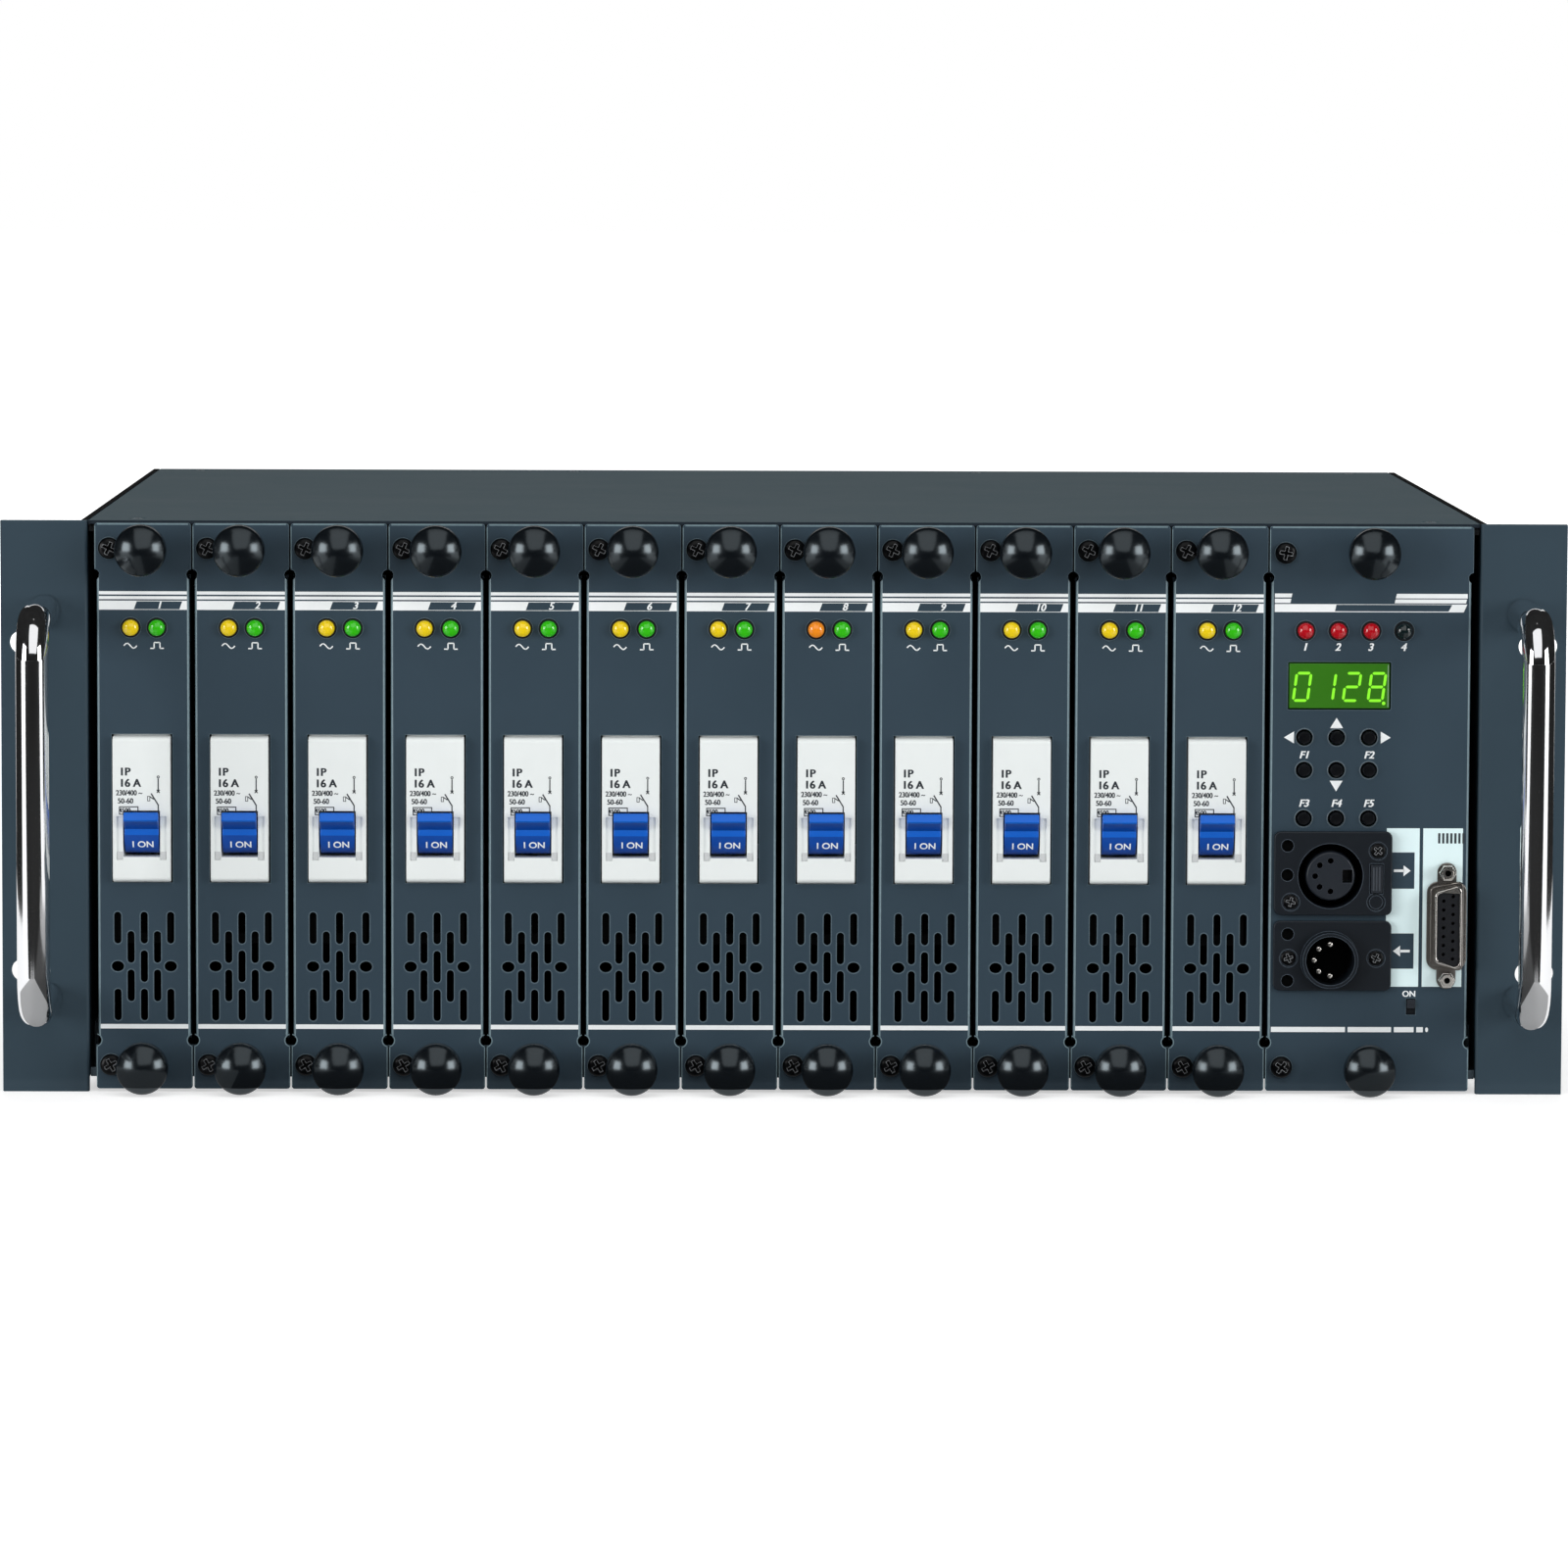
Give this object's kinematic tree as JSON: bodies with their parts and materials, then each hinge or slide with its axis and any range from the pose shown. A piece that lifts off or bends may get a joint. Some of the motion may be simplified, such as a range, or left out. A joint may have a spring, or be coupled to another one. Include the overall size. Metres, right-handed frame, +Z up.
{
  "type": "dimmer pack",
  "caption": "Rack-mount lighting dimmer pack with plug-in dimmer modules, circuit breakers, a control decoder with display and keys, and two bail handles.",
  "frame": {"origin": "Under the middle of the whole outline, at the level of the undersides of the feet, which is also that of the lower ends of the rack ears.", "axes": "+X to the right as seen from the front, +Y to the back, +Z up. The front panels face -Y."},
  "size_m": [0.4826, 0.3718, 0.177],
  "materials": {
    "chassis_paint": "fine satin powder coat, dark blue grey",
    "panel_paint": "fine satin powder coat, dark blue grey",
    "cover_paint": "satin grey paint",
    "rail_steel": "zinc-plated sheet",
    "laminate": "green circuit laminate",
    "handle_chrome": "bright chrome plate",
    "breaker_case": "white moulded case, semi-gloss",
    "toggle_blue": "blue moulded plastic, glossy",
    "display_window": "dark green display window, glossy",
    "socket_black": "black moulded plastic, semi-gloss",
    "port_shell": "plated steel shell, satin",
    "switch_white": "white plastic, matte",
    "key_black": "black plastic, satin"
  },
  "bodies": {
    "chassis": {"chassis_tray": "chassis_paint", "side_left": "chassis_paint", "side_right": "chassis_paint", "rail_top": "rail_steel", "top_cover": "cover_paint", "backplane": "laminate", "handle_left": "handle_chrome", "handle_right": "handle_chrome"},
    "decoder": {"decoder_front": "panel_paint", "display": "display_window", "data_output": "socket_black", "data_input": "socket_black", "control_port": "port_shell"},
    "module_01": {"dimmer_tray_01": "panel_paint", "breaker_01": "breaker_case"},
    "toggle_01": {"toggle_01": "toggle_blue"},
    "module_02": {"dimmer_tray_02": "panel_paint", "breaker_02": "breaker_case"},
    "toggle_02": {"toggle_02": "toggle_blue"},
    "module_03": {"dimmer_tray_03": "panel_paint", "breaker_03": "breaker_case"},
    "toggle_03": {"toggle_03": "toggle_blue"},
    "module_04": {"dimmer_tray_04": "panel_paint", "breaker_04": "breaker_case"},
    "toggle_04": {"toggle_04": "toggle_blue"},
    "module_05": {"dimmer_tray_05": "panel_paint", "breaker_05": "breaker_case"},
    "toggle_05": {"toggle_05": "toggle_blue"},
    "module_06": {"dimmer_tray_06": "panel_paint", "breaker_06": "breaker_case"},
    "toggle_06": {"toggle_06": "toggle_blue"},
    "module_07": {"dimmer_tray_07": "panel_paint", "breaker_07": "breaker_case"},
    "toggle_07": {"toggle_07": "toggle_blue"},
    "module_08": {"dimmer_tray_08": "panel_paint", "breaker_08": "breaker_case"},
    "toggle_08": {"toggle_08": "toggle_blue"},
    "module_09": {"dimmer_tray_09": "panel_paint", "breaker_09": "breaker_case"},
    "toggle_09": {"toggle_09": "toggle_blue"},
    "module_10": {"dimmer_tray_10": "panel_paint", "breaker_10": "breaker_case"},
    "toggle_10": {"toggle_10": "toggle_blue"},
    "module_11": {"dimmer_tray_11": "panel_paint", "breaker_11": "breaker_case"},
    "toggle_11": {"toggle_11": "toggle_blue"},
    "module_12": {"dimmer_tray_12": "panel_paint", "breaker_12": "breaker_case"},
    "toggle_12": {"toggle_12": "toggle_blue"},
    "output_latch": {"output_latch": "socket_black"},
    "terminate_slider": {"terminate_slider": "switch_white"},
    "button_left": {"button_left": "key_black"},
    "button_up": {"button_up": "key_black"},
    "button_right": {"button_right": "key_black"},
    "button_cancel": {"button_cancel": "key_black"},
    "button_down": {"button_down": "key_black"},
    "button_select": {"button_select": "key_black"},
    "button_set": {"button_set": "key_black"},
    "button_function": {"button_function": "key_black"},
    "button_mode": {"button_mode": "key_black"}
  },
  "joints": [
    {"name": "decoder_slide", "type": "slide", "parent": "chassis", "child": "decoder", "axis": [0, -1, 0], "range_m": [0, 0.27]},
    {"name": "module_slide_01", "type": "slide", "parent": "chassis", "child": "module_01", "axis": [0, -1, 0], "range_m": [0, 0.27]},
    {"name": "toggle_switch_01", "type": "hinge", "parent": "module_01", "child": "toggle_01", "pos_m": [-0.19803, -0.1315, 0.0805], "axis": [1, 0, 0], "range_deg": [0, 65]},
    {"name": "button_left_press", "type": "slide", "parent": "decoder", "child": "button_left", "axis": [0, 1, 0], "range_m": [0, 0.0005], "stiffness_N_per_m": 200, "springref_m": -0.002},
    {"name": "output_latch_press", "type": "slide", "parent": "decoder", "child": "output_latch", "axis": [0, 1, 0], "range_m": [0, 0.0012], "stiffness_N_per_m": 200, "springref_m": -0.002},
    {"name": "terminate_switch", "type": "slide", "parent": "decoder", "child": "terminate_slider", "axis": [0, 0, -1], "range_m": [0, 0.0019]},
    {"name": "module_slide_02", "type": "slide", "parent": "chassis", "child": "module_02", "axis": [0, -1, 0], "range_m": [0, 0.27]},
    {"name": "module_slide_03", "type": "slide", "parent": "chassis", "child": "module_03", "axis": [0, -1, 0], "range_m": [0, 0.27]},
    {"name": "module_slide_04", "type": "slide", "parent": "chassis", "child": "module_04", "axis": [0, -1, 0], "range_m": [0, 0.27]},
    {"name": "module_slide_05", "type": "slide", "parent": "chassis", "child": "module_05", "axis": [0, -1, 0], "range_m": [0, 0.27]},
    {"name": "module_slide_06", "type": "slide", "parent": "chassis", "child": "module_06", "axis": [0, -1, 0], "range_m": [0, 0.27]},
    {"name": "module_slide_07", "type": "slide", "parent": "chassis", "child": "module_07", "axis": [0, -1, 0], "range_m": [0, 0.27]},
    {"name": "module_slide_08", "type": "slide", "parent": "chassis", "child": "module_08", "axis": [0, -1, 0], "range_m": [0, 0.27]},
    {"name": "module_slide_09", "type": "slide", "parent": "chassis", "child": "module_09", "axis": [0, -1, 0], "range_m": [0, 0.27]},
    {"name": "module_slide_10", "type": "slide", "parent": "chassis", "child": "module_10", "axis": [0, -1, 0], "range_m": [0, 0.27]},
    {"name": "module_slide_11", "type": "slide", "parent": "chassis", "child": "module_11", "axis": [0, -1, 0], "range_m": [0, 0.27]},
    {"name": "module_slide_12", "type": "slide", "parent": "chassis", "child": "module_12", "axis": [0, -1, 0], "range_m": [0, 0.27]},
    {"name": "toggle_switch_02", "type": "hinge", "parent": "module_02", "child": "toggle_02", "pos_m": [-0.16787, -0.1315, 0.0805], "axis": [1, 0, 0], "range_deg": [0, 65]},
    {"name": "toggle_switch_03", "type": "hinge", "parent": "module_03", "child": "toggle_03", "pos_m": [-0.13772, -0.1315, 0.0805], "axis": [1, 0, 0], "range_deg": [0, 65]},
    {"name": "toggle_switch_04", "type": "hinge", "parent": "module_04", "child": "toggle_04", "pos_m": [-0.10758, -0.1315, 0.0805], "axis": [1, 0, 0], "range_deg": [0, 65]},
    {"name": "toggle_switch_05", "type": "hinge", "parent": "module_05", "child": "toggle_05", "pos_m": [-0.07742, -0.1315, 0.0805], "axis": [1, 0, 0], "range_deg": [0, 65]},
    {"name": "toggle_switch_06", "type": "hinge", "parent": "module_06", "child": "toggle_06", "pos_m": [-0.04727, -0.1315, 0.0805], "axis": [1, 0, 0], "range_deg": [0, 65]},
    {"name": "toggle_switch_07", "type": "hinge", "parent": "module_07", "child": "toggle_07", "pos_m": [-0.01713, -0.1315, 0.0805], "axis": [1, 0, 0], "range_deg": [0, 65]},
    {"name": "toggle_switch_08", "type": "hinge", "parent": "module_08", "child": "toggle_08", "pos_m": [0.01303, -0.1315, 0.0805], "axis": [1, 0, 0], "range_deg": [0, 65]},
    {"name": "toggle_switch_09", "type": "hinge", "parent": "module_09", "child": "toggle_09", "pos_m": [0.04317, -0.1315, 0.0805], "axis": [1, 0, 0], "range_deg": [0, 65]},
    {"name": "toggle_switch_10", "type": "hinge", "parent": "module_10", "child": "toggle_10", "pos_m": [0.07333, -0.1315, 0.0805], "axis": [1, 0, 0], "range_deg": [0, 65]},
    {"name": "toggle_switch_11", "type": "hinge", "parent": "module_11", "child": "toggle_11", "pos_m": [0.10347, -0.1315, 0.0805], "axis": [1, 0, 0], "range_deg": [0, 65]},
    {"name": "toggle_switch_12", "type": "hinge", "parent": "module_12", "child": "toggle_12", "pos_m": [0.13362, -0.1315, 0.0805], "axis": [1, 0, 0], "range_deg": [0, 65]},
    {"name": "button_up_press", "type": "slide", "parent": "decoder", "child": "button_up", "axis": [0, 1, 0], "range_m": [0, 0.0005], "stiffness_N_per_m": 200, "springref_m": -0.002},
    {"name": "button_right_press", "type": "slide", "parent": "decoder", "child": "button_right", "axis": [0, 1, 0], "range_m": [0, 0.0005], "stiffness_N_per_m": 200, "springref_m": -0.002},
    {"name": "button_cancel_press", "type": "slide", "parent": "decoder", "child": "button_cancel", "axis": [0, 1, 0], "range_m": [0, 0.0005], "stiffness_N_per_m": 200, "springref_m": -0.002},
    {"name": "button_down_press", "type": "slide", "parent": "decoder", "child": "button_down", "axis": [0, 1, 0], "range_m": [0, 0.0005], "stiffness_N_per_m": 200, "springref_m": -0.002},
    {"name": "button_select_press", "type": "slide", "parent": "decoder", "child": "button_select", "axis": [0, 1, 0], "range_m": [0, 0.0005], "stiffness_N_per_m": 200, "springref_m": -0.002},
    {"name": "button_set_press", "type": "slide", "parent": "decoder", "child": "button_set", "axis": [0, 1, 0], "range_m": [0, 0.0005], "stiffness_N_per_m": 200, "springref_m": -0.002},
    {"name": "button_function_press", "type": "slide", "parent": "decoder", "child": "button_function", "axis": [0, 1, 0], "range_m": [0, 0.0005], "stiffness_N_per_m": 200, "springref_m": -0.002},
    {"name": "button_mode_press", "type": "slide", "parent": "decoder", "child": "button_mode", "axis": [0, 1, 0], "range_m": [0, 0.0005], "stiffness_N_per_m": 200, "springref_m": -0.002}
  ]
}
